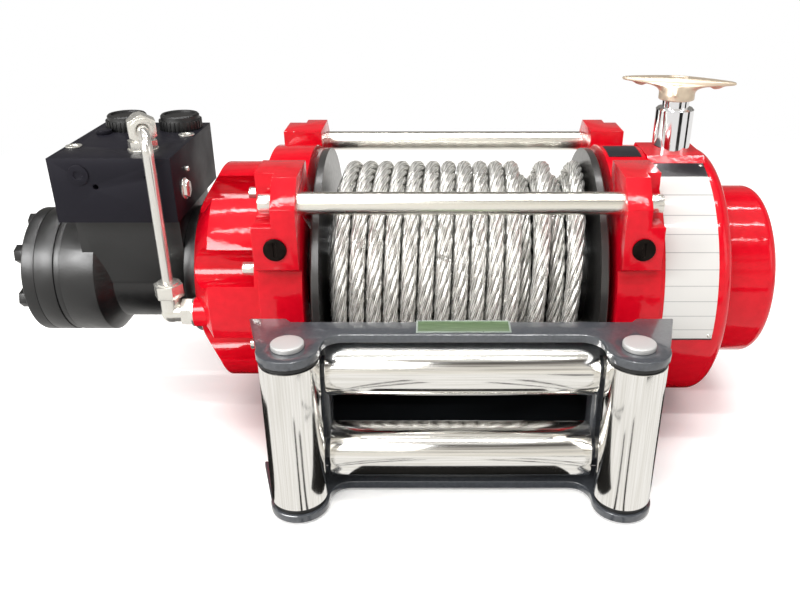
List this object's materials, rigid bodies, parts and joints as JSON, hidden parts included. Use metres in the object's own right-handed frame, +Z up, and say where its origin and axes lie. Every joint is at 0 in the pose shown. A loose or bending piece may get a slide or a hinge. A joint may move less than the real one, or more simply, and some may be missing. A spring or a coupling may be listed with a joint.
{
  "type": "hydraulic winch",
  "caption": "Hydraulic winch: wire rope on a drum between two supports, orbital motor with valve block, clutch gearbox and roller fairlead.",
  "frame": {"origin": "centre of the base bolt pattern, on the floor that the feet stand on", "axes": "+X along the drum towards the gearbox, +Y away from the fairlead, +Z up from the feet"},
  "size_m": [0.583, 0.2985, 0.2615],
  "materials": {
    "red_paint": "gloss red enamel over a casting",
    "ground_steel": "ground bar, fine rings",
    "roller_steel": "turned and polished tube",
    "zinc_steel": "bright zinc plate",
    "black_steel": "black oxide",
    "drum_paint": "satin dark grey",
    "rope_wire": "galvanised wire",
    "black_iron": "satin black paint",
    "black_anodised": "black anodised, fine satin",
    "black_cap": "moulded",
    "chrome": "polished",
    "nickel": "warm nickel plate over a casting",
    "frame_paint": "gloss dark grey powder coat",
    "black_nylon": "moulded"
  },
  "bodies": {
    "frame": {"left_support": "red_paint", "right_support": "red_paint", "tie_rod_front": "ground_steel", "tie_rod_rear": "ground_steel", "tie_rod_screws": "zinc_steel", "pad_plugs": "black_steel", "brake_housing": "red_paint", "brake_housing_screws": "zinc_steel", "motor_flange": "black_iron", "motor_body": "black_iron", "motor_distributor": "black_iron", "motor_gear_ring": "black_iron", "motor_end_cap": "black_iron", "motor_end_bolts": "black_steel", "valve_block": "black_anodised", "valve_block_screws": "zinc_steel", "port_cap_left": "black_cap", "port_cap_right": "black_cap", "valve_block_plugs": "black_steel", "brake_line": "zinc_steel", "upper_elbow": "zinc_steel", "upper_nut": "zinc_steel", "lower_elbow": "zinc_steel", "lower_nut": "zinc_steel", "gear_housing": "red_paint", "gear_end_cover": "red_paint", "clutch_housing": "chrome", "fairlead_top_plate": "frame_paint", "fairlead_bottom_plate": "frame_paint", "fairlead_side_left": "frame_paint", "fairlead_side_right": "frame_paint", "fairlead_spacers": "frame_paint", "fairlead_bolts": "zinc_steel", "upright_pins": "zinc_steel", "level_pins": "zinc_steel", "upright_washers": "black_nylon"},
    "drum": {"drum": "drum_paint", "wire_rope": "rope_wire", "rope_end": "rope_wire"},
    "clutch": {"clutch_stem": "chrome", "clutch_handle": "nickel"},
    "left_upright_roller": {"roller_left": "roller_steel"},
    "right_upright_roller": {"roller_right": "roller_steel"},
    "upper_level_roller": {"roller_upper": "roller_steel"},
    "lower_level_roller": {"roller_lower": "roller_steel"}
  },
  "joints": [
    {"name": "drum_spin", "type": "hinge", "parent": "frame", "child": "drum", "pos_m": [0, 0, 0.106], "axis": [1, 0, 0], "continuous": true},
    {"name": "clutch_turn", "type": "hinge", "parent": "frame", "child": "clutch", "pos_m": [0.165, 0, 0.226], "axis": [0, 0, 1], "range_deg": [0, 90]},
    {"name": "left_roller_spin", "type": "hinge", "parent": "frame", "child": "left_upright_roller", "pos_m": [-0.11, -0.173, 0.06], "axis": [0, 0, 1], "continuous": true},
    {"name": "right_roller_spin", "type": "hinge", "parent": "frame", "child": "right_upright_roller", "pos_m": [0.11, -0.173, 0.06], "axis": [0, 0, 1], "continuous": true},
    {"name": "upper_roller_spin", "type": "hinge", "parent": "frame", "child": "upper_level_roller", "pos_m": [0, -0.149, 0.0975], "axis": [1, 0, 0], "continuous": true},
    {"name": "lower_roller_spin", "type": "hinge", "parent": "frame", "child": "lower_level_roller", "pos_m": [0, -0.149, 0.0319], "axis": [1, 0, 0], "continuous": true}
  ]
}
